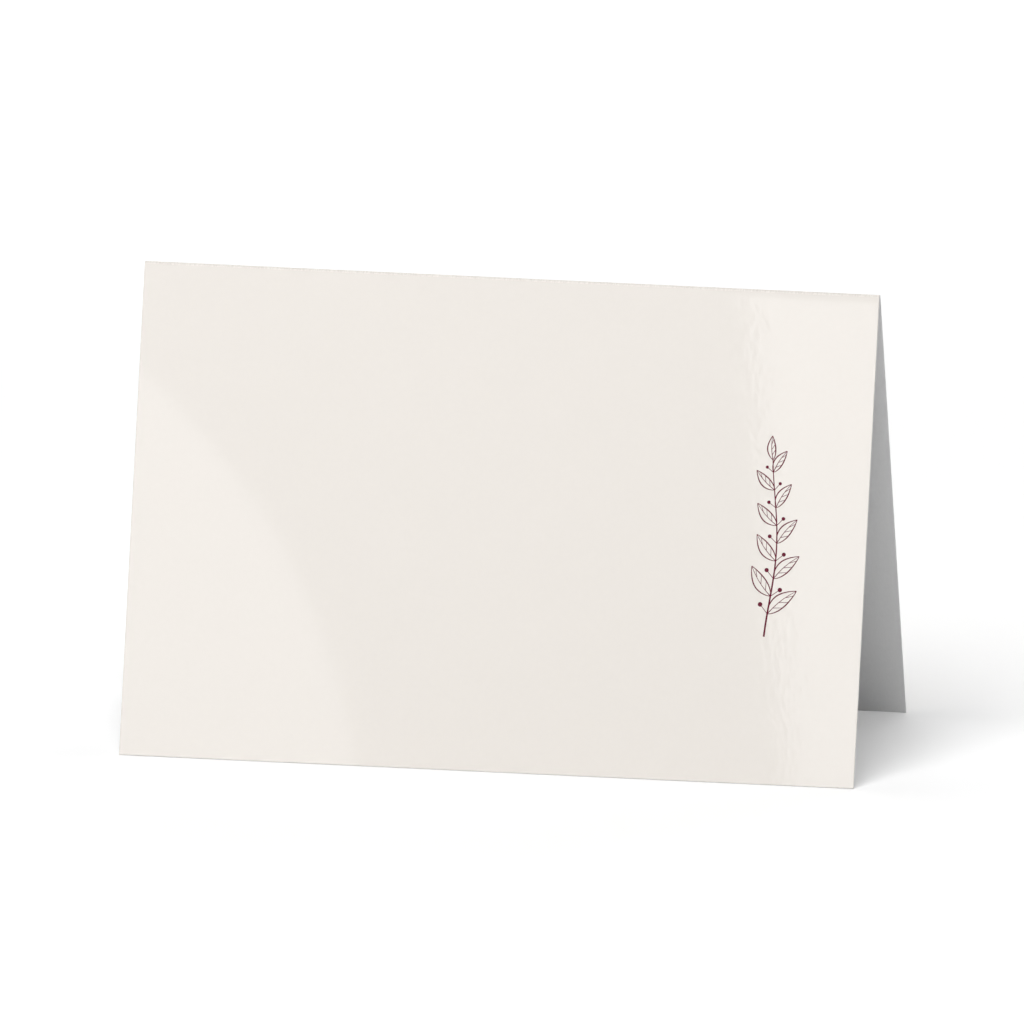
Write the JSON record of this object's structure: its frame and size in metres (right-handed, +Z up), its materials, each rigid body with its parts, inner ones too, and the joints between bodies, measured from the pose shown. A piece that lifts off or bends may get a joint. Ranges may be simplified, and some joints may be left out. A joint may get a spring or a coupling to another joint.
{
  "type": "greeting card",
  "caption": "Folded greeting card standing open like a tent, one sheet of smooth board with a small printed ornament on its front panel.",
  "frame": {"origin": "middle of the footprint, on the surface the card stands on", "axes": "+X along the fold, +Y towards the rear panel, +Z up; the printed front panel faces -Y"},
  "size_m": [0.152, 0.0612, 0.0961],
  "materials": {
    "card_board": "satin",
    "print_ink": "satin"
  },
  "bodies": {
    "root": {"card": "card_board"}
  },
  "joints": []
}
